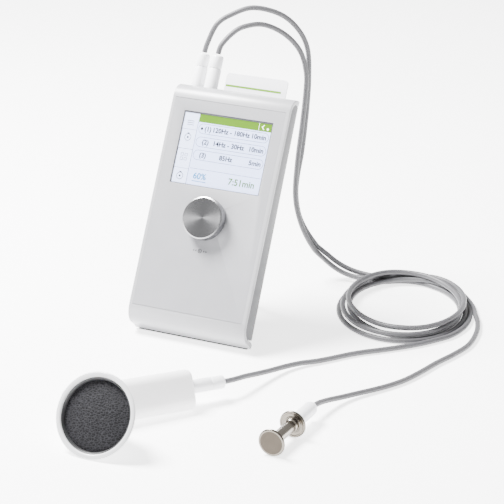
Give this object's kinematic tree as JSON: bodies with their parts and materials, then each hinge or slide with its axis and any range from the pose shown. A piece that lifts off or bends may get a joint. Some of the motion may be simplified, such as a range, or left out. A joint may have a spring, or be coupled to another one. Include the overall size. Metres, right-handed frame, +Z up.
{
  "type": "physiotherapy oscillation device",
  "caption": "Handheld therapy unit on a fold-out stand, with a colour screen, press-and-turn knob, chip card, membrane applicator and spool-shaped hand electrode on thin leads.",
  "frame": {"origin": "middle of the underside of the rubber foot strip that the control unit stands on, on the table", "axes": "+Z up, +X along the unit's width towards the coil, -Y is where the face looks; the face leans back 27.3 degrees"},
  "size_m": [0.2532, 0.4145, 0.2387],
  "materials": {
    "cover_pearl": "pearl grey satin moulding",
    "face_film": "printed film, fine texture",
    "shell_grey": "fine spark-eroded grain",
    "rubber_black": "matt rubber",
    "display_pane": "clear pane over a lit colour display",
    "display_frame": "plain sheet",
    "board_green": "solder resist",
    "module_black": "moulded",
    "battery_wrap": "shrink wrap",
    "connector_black": "moulded",
    "steel": "plain",
    "brass": "gold-plated contacts",
    "knob_metal": "turned face with fine circular lines",
    "card_white": "laminated card",
    "plug_white": "smooth moulding",
    "cord_grey": "soft jacket",
    "applicator_white": "satin moulding",
    "ring_grey": "satin moulding",
    "membrane_grey": "wrinkled film",
    "electrode_metal": "turned and plated"
  },
  "bodies": {
    "unit_and_leads": {"front_cover": "cover_pearl", "face_overlay": "face_film", "rear_shell": "shell_grey", "case_screw_1": "steel", "case_screw_2": "steel", "case_screw_3": "steel", "case_screw_4": "steel", "battery_door": "shell_grey", "foot_strip": "rubber_black", "display_window": "display_pane", "display_module": "display_frame", "main_board": "board_green", "output_module": "module_black", "battery_pack": "battery_wrap", "speaker": "module_black", "charge_socket": "connector_black", "encoder_body": "steel", "card_reader": "module_black", "output_socket_left": "connector_black", "output_socket_right": "connector_black", "kickstand_pin": "steel", "plug_left_sleeve": "plug_white", "plug_left_cap": "plug_white", "plug_left_pin": "brass", "plug_right_sleeve": "plug_white", "plug_right_cap": "plug_white", "plug_right_pin": "brass", "lead_coil": "cord_grey", "lead_left_rise": "cord_grey", "lead_right_rise": "cord_grey", "lead_left_run": "cord_grey", "lead_right_run": "cord_grey", "head_cup": "applicator_white", "membrane_ring": "ring_grey", "membrane": "membrane_grey", "electrode_plate": "steel", "handle_front_half": "applicator_white", "handle_rear_half": "applicator_white", "applicator_socket": "connector_black", "applicator_plug_sleeve": "plug_white", "applicator_plug_cap": "plug_white", "applicator_plug_pin": "brass", "electrode_front_disc": "electrode_metal", "electrode_rear_disc": "electrode_metal", "electrode_stem": "electrode_metal", "electrode_plug": "plug_white"},
    "plunger": {"encoder_plunger": "brass"},
    "knob_and_shaft": {"knob_shaft": "steel", "knob": "knob_metal"},
    "card": {"chip_card": "card_white", "card_chip": "brass"},
    "stand": {"kickstand": "shell_grey", "stand_foot": "rubber_black"}
  },
  "joints": [
    {"name": "knob_press", "type": "slide", "parent": "unit_and_leads", "child": "plunger", "axis": [0, 0.8886, -0.4587], "range_m": [0, 0.0008], "stiffness_N_per_m": 3000, "springref_m": -0.0004},
    {"name": "knob_turn", "type": "hinge", "parent": "plunger", "child": "knob_and_shaft", "pos_m": [0, 0.02275, 0.09158], "axis": [0, -0.8886, 0.4587], "continuous": true},
    {"name": "card_slide", "type": "slide", "parent": "unit_and_leads", "child": "card", "axis": [0, 0.4587, 0.8886], "range_m": [0, 0.066]},
    {"name": "kickstand_fold", "type": "hinge", "parent": "unit_and_leads", "child": "stand", "pos_m": [0, 0.06994, 0.09536], "axis": [-1, 0, 0], "range_deg": [0, 33.3]}
  ]
}
